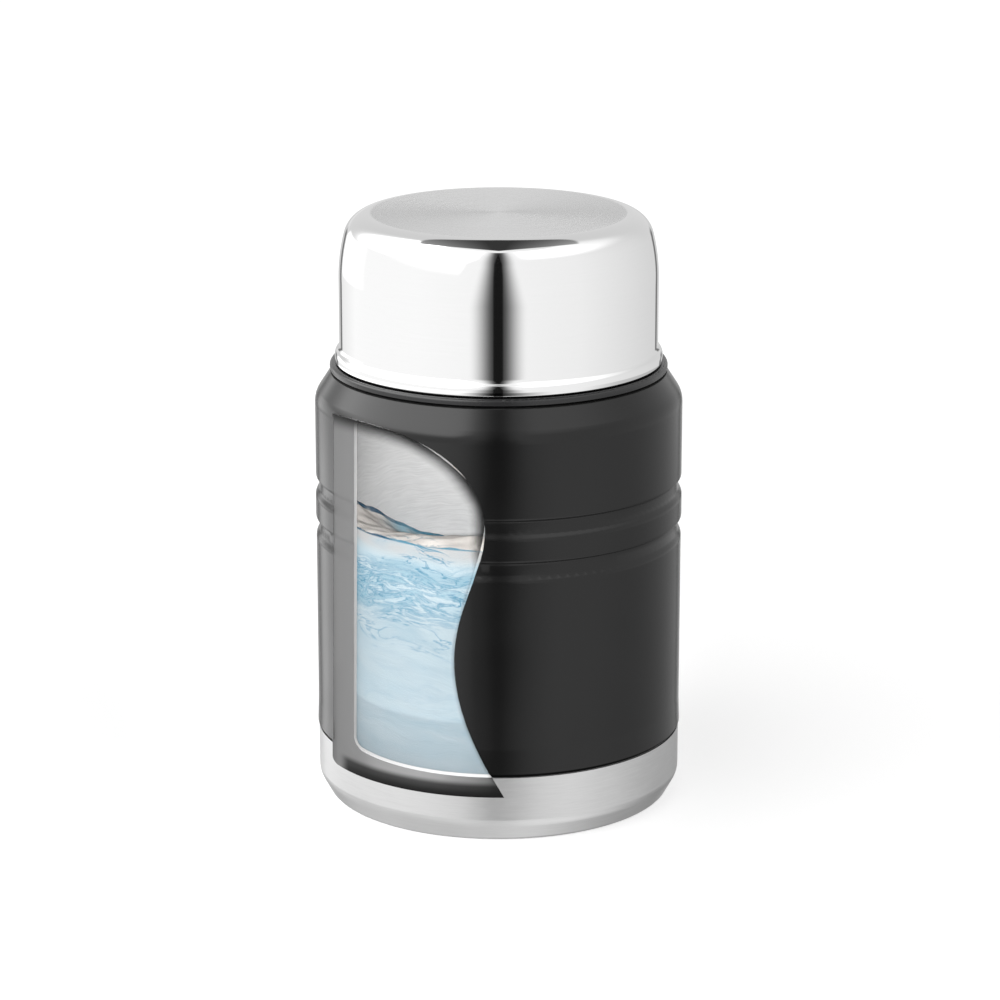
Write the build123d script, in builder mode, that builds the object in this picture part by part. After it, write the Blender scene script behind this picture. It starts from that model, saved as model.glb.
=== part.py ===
from build123d import *
import os
from math import asin, degrees, radians, sin

# Insulated food jar: a vacuum-walled steel jar, a screw-in stopper with a pressure valve, and a
# steel cup that screws down over the stopper. A window in the wall shows the vacuum gap and the
# inside. Millimetres, +Z up, origin at the middle of the foot, window towards -Y.

# ---- Driving dimensions ----

sheet = 0.6  # steel sheet of the shell, base, liner and cup
part_gap = 0.3  # between pieces that move past each other
snug_gap = 0.1  # between pieces that are fixed to each other

# Painted shell
body_r = 48.0
body_h = 114.2
shoulder_h = 6.5
shoulder_inset = 4.2
shoulder_round = 6.0
shoulder_edge = 0.25
bead_mid_h = 78.2
bead_w = 5.0
bead_proud = 0.1
groove_w = 6.0
groove_depth = 0.85
groove_upper_rise = 1.3  # height of a groove's steep upper flank
groove_lower_rise = 2.2
edge_flare = 0.2
edge_flare_h = 6.5

# Bare base
seam_h = 18.4
seam_gap = 1.0
band_inset = 0.08
lap_h = 8.0
base_bevel_w = 3.0
base_bevel_h = 5.4
base_upper_round = 4.0
base_foot_round = 1.6
foot_w = 2.6
foot_h = 2.4
foot_slope = 1.0
dimple_r = 6.0
dimple_h = 2.6
evacuation_r = 1.2
seal_bead_r = 3.6
seal_bead_h = 1.4
cover_t = 1.2
cover_round = 0.5

# Liner
vacuum_gap = 6.1
liner_floor_h = 10.1
liner_floor_round = 4.5
liner_shoulder_h = 2.4
liner_shoulder_round = 1.2
neck_h = 5.2
lip_w = 2.6
foil_t = 0.2
foil_gap = 0.05
foil_inset_h = 2.0
getter_r = 5.0
getter_h = 2.2
getter_wall = 0.4

# Window in the wall. The outline is a row of (angle round the jar, share of the window's height).
window_low_h = 12.7
window_top_drop = 6.1
window_curve = [
    (-61.5, 0.995),
    (-43.0, 1.000),
    (-25.0, 0.974),
    (-8.9, 0.873),
    (-4.2, 0.761),
    (-10.7, 0.527),
    (-13.6, 0.390),
    (-11.8, 0.256),
    (-6.9, 0.137),
    (1.5, 0.000),
]
window_low_angle = -64.8
window_corner = 2.0
liner_window_low_h = 15.6
liner_window_top_angle = -64.1
liner_window_low_angle = -68.3
liner_window_corner = 2.6
liner_window_sight = 1.5
liner_window_top_gap = 0.2
cut_beyond = 1.0  # a cut goes this far past the wall

# Threads: several starts with one lead, so that both screws open in half a turn
thread_lead = 18.0
thread_starts = 3
thread_depth = 1.1
thread_span = 50.0
ridge_root_w = 1.5
ridge_tip_w = 0.9
ridge_sunk = 0.3

# Stopper
collar_gap = 1.0
collar_overhang = 0.25
collar_taper = 0.05
skirt_gap = 0.7  # between the collar's lower edge and the shell
collar_edge = 0.9
skirt_wall = 0.9
flange_t = 1.3
neck_step = 1.0
plug_h = 10.2
plug_wall = 2.0
crown_h = 21.4
crown_wall = 2.2
crown_foot_w = 1.2
crown_foot_rise = 1.9
crown_edge = 0.8
gasket_w = 1.4
gasket_h = 1.6
gasket_offset = 0.45
cover_plate_t = 2.4
well_wall = 1.6
well_floor_t = 1.5
guide_wall = 1.2
base_plate_t = 2.0

# Pressure valve
button_r = 12.5
button_gap = 0.4
button_h = 3.7
button_proud = 1.5
button_round = 1.0
button_travel = 2.5
boss_r = 3.6
boss_h = 4.8
boss_gap = 2.5  # left under the boss when the button is down
rod_r = 2.0
rod_gap = 1.0
rod_grip = 3.0
rod_head_r = 3.4
rod_head_h = 1.0
valve_seal_r = 6.5
valve_seal_h = 1.7
spring_r = 6.0
spring_wire_r = 0.45
spring_turns = 5

# Cup
cup_height = 38.7
cup_dome_h = 17.1
cup_dome_r = 48.0
cup_top_round = 7.0
rim_inset = 1.35
rim_flare = 1.2
rim_flare_h = 4.4
rim_band_h = 1.6
rim_round = 0.35
insert_wall = 1.4
cup_seal_h = 1.1
cup_seal_w = 1.1

# ---- Sizes worked out from them ----

# Radii, from the outside in
collar_r = body_r - shoulder_inset + collar_overhang
skirt_r = collar_r - skirt_wall
rim_r = collar_r - rim_inset
cup_r = rim_r - rim_flare
insert_r = cup_r - sheet - snug_gap
insert_bore_r = insert_r - insert_wall
crown_r = insert_bore_r - thread_depth - part_gap
neck_bore_r = crown_r - neck_step
neck_r = neck_bore_r + sheet
plug_r = neck_bore_r - thread_depth - part_gap
lap_r = body_r - sheet
liner_r = body_r - sheet - vacuum_gap
foot_r = body_r - band_inset - base_bevel_w
recess_foot_r = foot_r - foot_w

# Heights, from the foot up
shell_low_h = seam_h + seam_gap / 2
base_top_h = seam_h - seam_gap / 2
neck_low_h = body_h - neck_h
liner_side_h = neck_low_h - liner_shoulder_h
liner_low_h = liner_floor_h - sheet
lip_h = body_h + sheet
flange_h = body_h + collar_gap
skirt_h = body_h + skirt_gap
seat_h = flange_h + flange_t
rim_h = seat_h + part_gap
cup_top_h = rim_h + cup_height
crown_top_h = seat_h + crown_h
plug_low_h = flange_h - plug_h - flange_t
insert_low_h = rim_h + cup_seal_h + snug_gap

# Window
window_top_h = body_h - window_top_drop
liner_window_top_h = liner_side_h - liner_window_top_gap

# Thread ridges: the screwed-in piece hooks under the fixed ridge by this much
ridge_step = (ridge_root_w + ridge_tip_w) / 2 + part_gap
thread_rise = thread_lead * thread_span / 360
neck_thread_h = lip_h - ridge_root_w - thread_rise / 2
plug_thread_h = neck_thread_h - ridge_step
crown_thread_h = seat_h + crown_h / 2
insert_thread_h = crown_thread_h - ridge_step


def on_wall(radius, angle, height):
    """Point of a cylinder's front, seen along Y: across and up."""
    return (radius * sin(radians(angle)), height)


def window_height(share):
    return window_low_h + share * (window_top_h - window_low_h)


def shell_section(inset):
    """Half-section of all that lies within the shell's skin, inset from its outer face."""
    side_r = body_r - inset
    top_r = body_r - shoulder_inset - inset / 2
    top_h = body_h - inset
    bead_low_h = bead_mid_h - bead_w / 2
    bead_top_h = bead_mid_h + bead_w / 2
    flare_r = body_r + edge_flare if inset == 0 else side_r
    bead_r = side_r + bead_proud
    groove_r = side_r - groove_depth
    upward = (0, 1)
    with BuildSketch(Plane.XZ) as section:
        with BuildLine():
            Polyline((0, top_h), (0, shell_low_h), (flare_r, shell_low_h))
            Line((flare_r, shell_low_h), (side_r, shell_low_h + edge_flare_h))
            Line((side_r, shell_low_h + edge_flare_h), (side_r, bead_low_h - groove_w))
            for low_r, low_h, up_r in (
                (side_r, bead_low_h - groove_w, bead_r),
                (bead_r, bead_top_h, side_r),
            ):
                Spline(
                    (low_r, low_h),
                    (groove_r, low_h + groove_lower_rise),
                    (groove_r, low_h + groove_w - groove_upper_rise),
                    (up_r, low_h + groove_w),
                    tangents=[upward] * 4,
                )
            Line((bead_r, bead_low_h), (bead_r, bead_top_h))
            Line((side_r, bead_top_h + groove_w), (side_r, body_h - shoulder_h))
            Polyline((side_r, body_h - shoulder_h), (top_r, top_h), (0, top_h))
        make_face()
        top_corner = section.vertices().group_by(Axis.Y)[-1].sort_by(Axis.X)[-1]
        fillet(top_corner, radius=shoulder_edge)
        side_corner = section.vertices().sort_by_distance((side_r, body_h - shoulder_h))[0]
        fillet(side_corner, radius=shoulder_round)
    return section.sketch_local


def base_section(inset):
    """Half-section of all that lies within the base's skin, with its foot ring filled."""
    band_r = body_r - band_inset - inset
    with BuildSketch(Plane.XZ) as section:
        with BuildLine():
            Polyline(
                (0, inset),
                (foot_r - inset / 2, inset),
                (band_r, base_bevel_h),
                (band_r, base_top_h - inset),
                (lap_r - inset, base_top_h - inset / 2),
                (lap_r - inset, shell_low_h + lap_h),
                (0, shell_low_h + lap_h),
                close=True,
            )
        make_face()
        upper_corner = section.vertices().sort_by_distance((band_r, base_bevel_h))[0]
        fillet(upper_corner, radius=base_upper_round)
        foot_corner = section.vertices().group_by(Axis.Y)[0].sort_by(Axis.X)[-1]
        fillet(foot_corner, radius=base_foot_round - inset)
    return section.sketch_local


def under_section(rise):
    """Half-section of the hollow under the base, or of the panel over it where it is raised."""
    with BuildSketch(Plane.XZ) as section:
        with BuildLine():
            Polyline(
                (0, 0),
                (recess_foot_r + rise / 2, 0),
                (recess_foot_r + rise / 2 - foot_slope, foot_h + rise),
                (dimple_r + rise, foot_h + rise),
                (dimple_r + rise - foot_slope, foot_h + dimple_h + rise),
                (0, foot_h + dimple_h + rise),
                close=True,
            )
        make_face()
    return section.sketch_local


def liner_section(inset):
    """Half-section of all that lies within the liner, inset from its outer face."""
    with BuildSketch(Plane.XZ) as section:
        with BuildLine():
            Polyline(
                (0, liner_low_h + inset),
                (liner_r - inset, liner_low_h + inset),
                (liner_r - inset, liner_side_h),
                (neck_r - inset, neck_low_h),
                (neck_r - inset, lip_h),
                (0, lip_h),
                close=True,
            )
        make_face()
        floor_corner = section.vertices().group_by(Axis.Y)[0].sort_by(Axis.X)[-1]
        fillet(floor_corner, radius=liner_floor_round - inset)
        for corner in ((liner_r - inset, liner_side_h), (neck_r - inset, neck_low_h)):
            vertex = section.vertices().sort_by_distance(corner)[0]
            fillet(vertex, radius=liner_shoulder_round)
    return section.sketch_local


def cup_section(inset, low_h):
    """Half-section of all that lies within the cup's skin, inset from its outer face."""
    side_r = cup_r - inset
    top_h = cup_top_h - inset
    dome_low_h = cup_top_h - cup_dome_h
    rise = degrees(asin((top_h - dome_low_h) / (cup_dome_r - inset)))
    with BuildSketch(Plane.XZ) as section:
        with BuildLine():
            Polyline((0, top_h), (0, low_h), (side_r, low_h), (side_r, dome_low_h))
            dome = CenterArc((cup_r - cup_dome_r, dome_low_h), cup_dome_r - inset, 0, rise)
            Line(dome @ 1, (0, top_h))
        make_face()
        top_corner = section.vertices().group_by(Axis.Y)[-1].sort_by(Axis.X)[-1]
        fillet(top_corner, radius=cup_top_round - inset)
    return section.sketch_local


def thread_ridge(root_r, tip_r, mid_h):
    """One start of a thread: a short helical ridge from root_r to tip_r, sunk in its wall."""
    sunk = ridge_sunk if tip_r > root_r else -ridge_sunk
    start_r = root_r - sunk
    with BuildPart() as ridge:
        with BuildLine() as path:
            Helix(thread_lead, thread_rise, start_r, center=(0, 0, mid_h - thread_rise / 2))
        with BuildSketch(Plane(origin=path.line @ 0, x_dir=(1, 0, 0), z_dir=path.line % 0)):
            Polygon(
                (0, -ridge_root_w / 2),
                (tip_r - start_r, -ridge_tip_w / 2),
                (tip_r - start_r, ridge_tip_w / 2),
                (0, ridge_root_w / 2),
                align=None,
            )
        sweep(is_frenet=True)
    return ridge.part


# ---- Window cuts ----

with BuildPart() as window_cut:
    with BuildSketch(Plane.XZ) as window_outline:
        with BuildLine():
            window_points = []
            for point_angle, point_share in window_curve:
                window_points.append(on_wall(body_r, point_angle, window_height(point_share)))
            window_edge = Spline(*window_points)
            window_low = on_wall(body_r, window_low_angle, window_low_h)
            Polyline(window_edge @ 1, window_low, window_edge @ 0)
        make_face()
        fillet(window_outline.vertices().sort_by_distance(window_low)[0], radius=window_corner)
    extrude(amount=body_r + edge_flare + cut_beyond)

with BuildPart() as liner_window_cut:
    with BuildSketch(Plane.XZ) as liner_outline:
        with BuildLine(mode=Mode.PRIVATE) as seen_through:
            seen_points = []
            for across, height in window_points:
                seen_points.append((across + liner_window_sight, height))
            seen_edge = Spline(*seen_points)
            Polyline(seen_edge @ 1, (window_low[0], window_low_h), seen_edge @ 0)
        make_face(seen_through.edges())
        cut_low = on_wall(liner_r, liner_window_low_angle, liner_window_low_h)
        cut_top = on_wall(liner_r, liner_window_top_angle, liner_window_top_h)
        Polygon(
            cut_low,
            (body_r, liner_window_low_h),
            (body_r, liner_window_top_h),
            cut_top,
            align=None,
            mode=Mode.INTERSECT,
        )
        low_corner = liner_outline.vertices().sort_by_distance(cut_low)[0]
        fillet(low_corner, radius=liner_window_corner)
    extrude(amount=body_r + cut_beyond)

# ---- Jar: shell, base, liner and what lies between them ----

with BuildPart() as outer_shell:
    with BuildSketch(Plane.XZ):
        add(shell_section(0))
        add(shell_section(sheet), mode=Mode.SUBTRACT)
        with Locations((0, body_h)):
            Rectangle(2 * neck_r, 4 * sheet, mode=Mode.SUBTRACT)
    revolve(axis=Axis.Z)
    add(window_cut.part, mode=Mode.SUBTRACT)

with BuildPart() as base_cup:
    with BuildSketch(Plane.XZ):
        add(base_section(0))
        add(base_section(sheet), mode=Mode.SUBTRACT)
        add(under_section(sheet))
        add(under_section(0), mode=Mode.SUBTRACT)
        with Locations((0, foot_h + dimple_h)):
            Rectangle(2 * evacuation_r, 4 * sheet, mode=Mode.SUBTRACT)
    revolve(axis=Axis.Z)
    add(window_cut.part, mode=Mode.SUBTRACT)

with BuildPart() as shell_window:
    with BuildSketch(Plane.XZ):
        add(shell_section(0))
        add(base_section(0))
        Rectangle(
            2 * (lap_r - sheet),
            body_h,
            align=(Align.CENTER, Align.MIN),
            mode=Mode.SUBTRACT,
        )
    revolve(axis=Axis.Z)
    add(window_cut.part, mode=Mode.INTERSECT)

with BuildPart() as vacuum_seal:
    with Locations((0, 0, foot_h + dimple_h)):
        Cylinder(seal_bead_r, seal_bead_h, align=(Align.CENTER, Align.CENTER, Align.MAX))
    fillet(vacuum_seal.edges().group_by(Axis.Z)[0], radius=seal_bead_h / 2)

with BuildPart() as bottom_cover:
    with Locations((0, 0, foot_h)):
        Cylinder(
            recess_foot_r - foot_slope - snug_gap,
            cover_t,
            align=(Align.CENTER, Align.CENTER, Align.MAX),
        )
    fillet(bottom_cover.edges().group_by(Axis.Z)[0], radius=cover_round)

neck_ridge = thread_ridge(neck_bore_r, neck_bore_r - thread_depth, neck_thread_h)

with BuildPart() as liner_blank:
    with BuildSketch(Plane.XZ):
        add(liner_section(0))
        with Locations((0, body_h)):
            Rectangle(neck_r + lip_w, sheet, align=Align.MIN)
        add(liner_section(sheet), mode=Mode.SUBTRACT)
    revolve(axis=Axis.Z)
    with PolarLocations(0, thread_starts):
        add(neck_ridge)

with BuildPart() as inner_liner:
    add(liner_blank.part)
    add(liner_window_cut.part, mode=Mode.SUBTRACT)

with BuildPart() as liner_window:
    add(liner_blank.part)
    add(liner_window_cut.part, mode=Mode.INTERSECT)

foil_low_h = liner_low_h + liner_floor_round + foil_inset_h / 2
foil_height = liner_side_h - foil_inset_h - foil_low_h

with BuildPart() as radiation_foil:
    with Locations((0, 0, foil_low_h)):
        Cylinder(
            liner_r + foil_gap + foil_t,
            foil_height,
            align=(Align.CENTER, Align.CENTER, Align.MIN),
        )
        Cylinder(
            liner_r + foil_gap,
            foil_height,
            align=(Align.CENTER, Align.CENTER, Align.MIN),
            mode=Mode.SUBTRACT,
        )
    add(liner_window_cut.part, mode=Mode.SUBTRACT)

with BuildPart() as getter_cup:
    with Locations((0, 0, liner_low_h)):
        Cylinder(getter_r, getter_h, align=(Align.CENTER, Align.CENTER, Align.MAX))
    with Locations((0, 0, liner_low_h - getter_wall)):
        Cylinder(
            getter_r - getter_wall,
            getter_h,
            align=(Align.CENTER, Align.CENTER, Align.MAX),
            mode=Mode.SUBTRACT,
        )

with BuildPart() as getter_pellet:
    with Locations((0, 0, liner_low_h - getter_wall)):
        Cylinder(
            getter_r - getter_wall - snug_gap,
            getter_h - 2 * getter_wall,
            align=(Align.CENTER, Align.CENTER, Align.MAX),
        )

# ---- Stopper ----

well_r = button_r + button_gap
guide_bore_r = rod_r + rod_gap
guide_r = guide_bore_r + guide_wall
button_top_h = crown_top_h + button_proud
button_low_h = button_top_h - button_h
boss_low_h = button_low_h - boss_h
well_floor_h = boss_low_h - button_travel - boss_gap
crown_bore_r = crown_r - crown_wall
plug_bore_r = plug_r - plug_wall
base_plate_r = plug_bore_r - snug_gap
gasket_in_r = neck_bore_r + gasket_offset
gasket_out_r = gasket_in_r + gasket_w
gasket_low_h = lip_h + part_gap
groove_top_h = gasket_low_h + gasket_h + snug_gap
crown_foot_r = crown_r + crown_foot_w
crown_foot_h = seat_h + crown_foot_rise

plug_ridge = thread_ridge(plug_r, plug_r + thread_depth, plug_thread_h)
crown_ridge = thread_ridge(crown_r, crown_r + thread_depth, crown_thread_h)

with BuildPart() as stopper_body:
    with BuildSketch(Plane.XZ) as stopper_section:
        with BuildLine():
            Polyline(
                (plug_bore_r, plug_low_h),
                (plug_r, plug_low_h),
                (plug_r, flange_h),
                (gasket_in_r - snug_gap, flange_h),
                (gasket_in_r - snug_gap, groove_top_h),
                (gasket_out_r + snug_gap, groove_top_h),
                (gasket_out_r + snug_gap, flange_h),
                (skirt_r, flange_h),
                (skirt_r, skirt_h),
                (collar_r - collar_taper, skirt_h),
                (collar_r, seat_h),
                (crown_foot_r, seat_h),
                (crown_foot_r, crown_foot_h),
                (crown_r, crown_foot_h),
                (crown_r, crown_top_h),
                (crown_bore_r, crown_top_h),
                (crown_bore_r, crown_foot_h),
                (plug_bore_r, seat_h),
                close=True,
            )
        make_face()
        collar_corner = stopper_section.vertices().sort_by_distance((collar_r, seat_h))[0]
        fillet(collar_corner, radius=collar_edge)
        crown_corner = stopper_section.vertices().sort_by_distance((crown_r, crown_top_h))[0]
        fillet(crown_corner, radius=crown_edge)
    revolve(axis=Axis.Z)
    with PolarLocations(0, thread_starts):
        add(plug_ridge)
        add(crown_ridge)

with BuildPart() as stopper_gasket:
    with BuildSketch(Plane.XY.offset(gasket_low_h)):
        Circle(gasket_out_r)
        Circle(gasket_in_r, mode=Mode.SUBTRACT)
    extrude(amount=gasket_h)
    fillet(stopper_gasket.edges().group_by(Axis.Z)[0], radius=gasket_w / 4)

with BuildPart() as stopper_cover:
    with BuildSketch(Plane.XZ):
        with BuildLine():
            Polyline(
                (guide_bore_r, plug_low_h + base_plate_t + snug_gap),
                (guide_r, plug_low_h + base_plate_t + snug_gap),
                (guide_r, well_floor_h - well_floor_t),
                (well_r + well_wall, well_floor_h - well_floor_t),
                (well_r + well_wall, crown_top_h - cover_plate_t),
                (crown_bore_r - snug_gap, crown_top_h - cover_plate_t),
                (crown_bore_r - snug_gap, crown_top_h),
                (well_r, crown_top_h),
                (well_r, well_floor_h),
                (guide_bore_r, well_floor_h),
                close=True,
            )
        make_face()
    revolve(axis=Axis.Z)
    well_mouth = stopper_cover.edges().group_by(Axis.Z)[-1].sort_by(SortBy.RADIUS)[0]
    chamfer(well_mouth, length=button_gap)

with BuildPart() as stopper_foam:
    with BuildSketch(Plane.XZ):
        with BuildLine():
            Polyline(
                (guide_r + snug_gap, plug_low_h + base_plate_t + snug_gap),
                (base_plate_r, plug_low_h + base_plate_t + snug_gap),
                (base_plate_r, seat_h),
                (crown_bore_r - snug_gap, crown_foot_h + snug_gap),
                (crown_bore_r - snug_gap, crown_top_h - cover_plate_t - snug_gap),
                (well_r + well_wall + snug_gap, crown_top_h - cover_plate_t - snug_gap),
                (well_r + well_wall + snug_gap, well_floor_h - well_floor_t - snug_gap),
                (guide_r + snug_gap, well_floor_h - well_floor_t - snug_gap),
                close=True,
            )
        make_face()
    revolve(axis=Axis.Z)

with BuildPart() as stopper_base:
    with BuildSketch(Plane.XY.offset(plug_low_h)):
        Circle(base_plate_r)
        Circle(guide_bore_r, mode=Mode.SUBTRACT)
    extrude(amount=base_plate_t)

# ---- Pressure valve: the button pushes the rod's seal off the base plate's hole ----

seal_top_h = plug_low_h - part_gap
rod_top_h = boss_low_h + rod_grip
rod_head_top_h = seal_top_h - valve_seal_h

with BuildPart() as valve_button:
    with Locations((0, 0, button_top_h)):
        Cylinder(button_r, button_h, align=(Align.CENTER, Align.CENTER, Align.MAX))
    fillet(valve_button.edges().group_by(Axis.Z)[-1], radius=button_round)
    with Locations((0, 0, button_low_h)):
        Cylinder(boss_r, boss_h, align=(Align.CENTER, Align.CENTER, Align.MAX))
    with Locations((0, 0, boss_low_h)):
        Cylinder(
            rod_r + snug_gap / 2,
            rod_grip,
            align=(Align.CENTER, Align.CENTER, Align.MIN),
            mode=Mode.SUBTRACT,
        )

with BuildPart() as valve_rod:
    with Locations((0, 0, rod_head_top_h)):
        Cylinder(
            rod_r,
            rod_top_h - rod_head_top_h,
            align=(Align.CENTER, Align.CENTER, Align.MIN),
        )
        Cylinder(rod_head_r, rod_head_h, align=(Align.CENTER, Align.CENTER, Align.MAX))
    fillet(valve_rod.edges().group_by(Axis.Z)[0], radius=rod_head_h / 3)

with BuildPart() as valve_seal:
    with BuildSketch(Plane.XY.offset(rod_head_top_h)):
        Circle(valve_seal_r)
        Circle(rod_r, mode=Mode.SUBTRACT)
    extrude(amount=valve_seal_h)
    rim_edge = valve_seal.edges().group_by(Axis.Z)[0].sort_by(SortBy.RADIUS)[-1]
    fillet(rim_edge, radius=valve_seal_h / 2)

spring_rise = button_low_h - well_floor_h - 2 * spring_wire_r - 2 * snug_gap
spring_low_h = well_floor_h + spring_wire_r + snug_gap

with BuildPart() as valve_spring:
    with BuildLine() as coil:
        Helix(spring_rise / spring_turns, spring_rise, spring_r, center=(0, 0, spring_low_h))
    with BuildSketch(Plane(origin=coil.line @ 0, z_dir=coil.line % 0)):
        Circle(spring_wire_r)
    sweep(is_frenet=True)

# ---- Cup ----

flare_top_h = rim_h + rim_flare_h
band_top_h = rim_h + rim_band_h

with BuildPart() as cup_shell:
    with BuildSketch(Plane.XZ) as cup_outline:
        add(cup_section(0, flare_top_h))
        add(cup_section(sheet, flare_top_h), mode=Mode.SUBTRACT)
        with BuildLine():
            Polyline(
                (rim_r, band_top_h),
                (rim_r, rim_h),
                (cup_r - sheet, rim_h),
                (cup_r - sheet, flare_top_h),
                (cup_r, flare_top_h),
            )
            flare_mid = ((cup_r + rim_r) / 2, (flare_top_h + band_top_h) / 2)
            flare_upper = TangentArc((cup_r, flare_top_h), flare_mid, tangent=(0, -1))
            TangentArc(flare_mid, (rim_r, band_top_h), tangent=flare_upper % 1)
        make_face()
        fillet(cup_outline.vertices().sort_by_distance((rim_r, rim_h))[0], radius=rim_round)
    revolve(axis=Axis.Z)

insert_inset = sheet + snug_gap
insert_ridge = thread_ridge(insert_bore_r, insert_bore_r - thread_depth, insert_thread_h)

with BuildPart() as cup_insert:
    with BuildSketch(Plane.XZ):
        add(cup_section(insert_inset, insert_low_h))
        add(cup_section(insert_inset + insert_wall, insert_low_h), mode=Mode.SUBTRACT)
    revolve(axis=Axis.Z)
    with PolarLocations(0, thread_starts):
        add(insert_ridge)

with BuildPart() as cup_seal:
    with BuildSketch(Plane.XY.offset(rim_h)):
        Circle(insert_r - snug_gap)
        Circle(insert_r - snug_gap - cup_seal_w, mode=Mode.SUBTRACT)
    extrude(amount=cup_seal_h)
    fillet(cup_seal.edges().group_by(Axis.Z)[0], radius=cup_seal_w / 4)

# ---- Files ----

nodes = {
    "outer_shell": outer_shell,
    "shell_window": shell_window,
    "base_cup": base_cup,
    "bottom_cover": bottom_cover,
    "vacuum_seal": vacuum_seal,
    "inner_liner": inner_liner,
    "liner_window": liner_window,
    "radiation_foil": radiation_foil,
    "getter_cup": getter_cup,
    "getter_pellet": getter_pellet,
    "stopper_body": stopper_body,
    "stopper_gasket": stopper_gasket,
    "stopper_cover": stopper_cover,
    "stopper_foam": stopper_foam,
    "stopper_base": stopper_base,
    "valve_button": valve_button,
    "valve_rod": valve_rod,
    "valve_seal": valve_seal,
    "valve_spring": valve_spring,
    "cup_shell": cup_shell,
    "cup_insert": cup_insert,
    "cup_seal": cup_seal,
}

os.makedirs("parts", exist_ok=True)
for node_name, node in nodes.items():
    node.part.label = node_name
    export_step(node.part, f"parts/{node_name}.step")
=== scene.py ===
import bpy
from math import asin, atan2, cos, pi, radians, sin, sqrt
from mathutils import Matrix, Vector


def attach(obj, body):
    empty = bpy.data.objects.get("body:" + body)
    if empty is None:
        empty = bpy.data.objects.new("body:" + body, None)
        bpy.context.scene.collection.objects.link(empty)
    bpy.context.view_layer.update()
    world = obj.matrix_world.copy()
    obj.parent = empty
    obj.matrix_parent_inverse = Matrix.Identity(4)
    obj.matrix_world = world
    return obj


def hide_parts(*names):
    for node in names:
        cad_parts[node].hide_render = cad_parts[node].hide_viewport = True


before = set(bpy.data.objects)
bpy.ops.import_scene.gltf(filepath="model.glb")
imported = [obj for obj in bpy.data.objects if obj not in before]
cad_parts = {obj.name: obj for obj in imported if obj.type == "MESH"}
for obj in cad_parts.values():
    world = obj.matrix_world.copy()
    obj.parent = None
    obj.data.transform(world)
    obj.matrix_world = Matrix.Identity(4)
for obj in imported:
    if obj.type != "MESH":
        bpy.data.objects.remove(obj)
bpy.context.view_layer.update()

mm = 0.001

# ---- Camera: the picture's size, and where it was taken from ----

image_side = 1000
focal_pixels = 3760.46
sensor_mm = 36.0
camera_pitch = 0.272
camera_distance = 0.9905
aim_height = 0.07836
axis_offset_pixels = 1.26

# ---- Sizes of the part that the materials and pieces follow (millimetres) ----

cup_top_h = 155.5
disc_r = 33.2
cup_r = 41.5
cup_sheet = 0.6
cup_dome_r = 48.0
cup_dome_low_h = 138.4
cup_top_round = 7.0
rim_r = 42.7
rim_low_h = 116.8
rim_band_top_h = 118.4
rim_flare_top_h = 121.2
rim_round = 0.35
seam_h = 17.92
collar_shade_r = 43.9  # the shoulder is in the collar's shade up to here
liner_inside_r = 40.7
liner_floor_h = 10.1
liner_floor_round = 3.9

# The liner's pane, whose straight left side leans from low_x to top_x
liner_pane_r = 41.0
liner_pane_low_h = 15.6
liner_pane_low_x = -38.37
liner_pane_top_h = 106.4
liner_pane_top_x = -37.15
liner_pane_corner_r = 2.6
liner_pane_edge_w = 0.85  # width of its ground edge
liner_pane_behind = 1.5  # how far it reaches behind the wall's window edge

# The wall's window and its pane, which follows the two grooves
wall_r = 48.0
window_low_h = 12.7
window_top_h = 108.1
wall_pane_r = 47.95
wall_pane_low_x = -43.7
wall_pane_top_x = -42.5
wall_pane_corner_r = 1.6
wall_pane_beyond = 0.06  # how far it reaches into the sheet round the window
groove_low_heights = (69.7, 80.7)
groove_w = 6.0
groove_depth = 0.85
groove_low_rise = 2.2
groove_top_rise = 1.3
# Upper and right edge of the window, as (across, up)
window_edge = [
    (-42.2, 107.6),
    (-32.7, 108.1),
    (-20.3, 105.6),
    (-7.4, 96.0),
    (-3.5, 85.3),
    (-8.9, 63.0),
    (-11.3, 49.9),
    (-9.8, 37.1),
    (-5.8, 25.8),
    (1.3, 12.7),
]
window_edge_turn = 4  # where the edge is furthest right
window_across_span = (-34.0, 2.0)  # holds all of the edge's right side
window_up_span = (85.0, 109.0)  # holds all of its upper side

# Grey painted on the wall's pane in place of the vacuum gap's light and shade, beside and below the
# liner's pane as seen from in front
gap_shading_low_x = -37.87  # right edge of the strip of painted grey, at the foot's height
gap_shading_lean = 0.01088
foot_sight = 0.358  # drop of the sight line to the pane's foot
gap_shading_strength = 0.94
# How light the painted grey of the gap is, as (across, level)
gap_shading_levels = [
    (-43.4, 0.1),
    (-42.6, 0.145),
    (-41.4, 0.17),
    (-38.0, 0.165),
    (-36.8, 0.155),
    (-31.6, 0.185),
    (-26.3, 0.19),
    (-18.4, 0.187),
    (-10.5, 0.13),
    (-5.3, 0.095),
    (-1.0, 0.03),
]
gap_shading_level_top = 0.2

# The painted shadow on the wall's pane, along the window's curved edge and its foot, as heights
# between which it changes
edge_shadow_heights = (71.0, 80.0)
edge_shadow_reaches = (1.0, 4.3)  # below and above those heights
edge_shadow_levels = (0.3, 0.97)
foot_shadow_top = (17.2, 15.3)
foot_shadow_low = (15.5, 12.9)
foot_shadow_levels = (0.87, 0.12)
foot_shadow_left = (-42.0, -39.0)

# The sloshing water, which stands high in front and falls towards the back, less so at the left
water_gap = 0.3
water_r = liner_inside_r - water_gap
water_front_h = 75.6
water_back_h = 56.0
water_back_turn_x = -7.1
water_back_rise = 0.01813
water_fall_y = 30.0
water_climb = 0.7  # how far it climbs at the wall
water_climb_round = 0.15

# ---- Colours and grey levels ----

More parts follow.
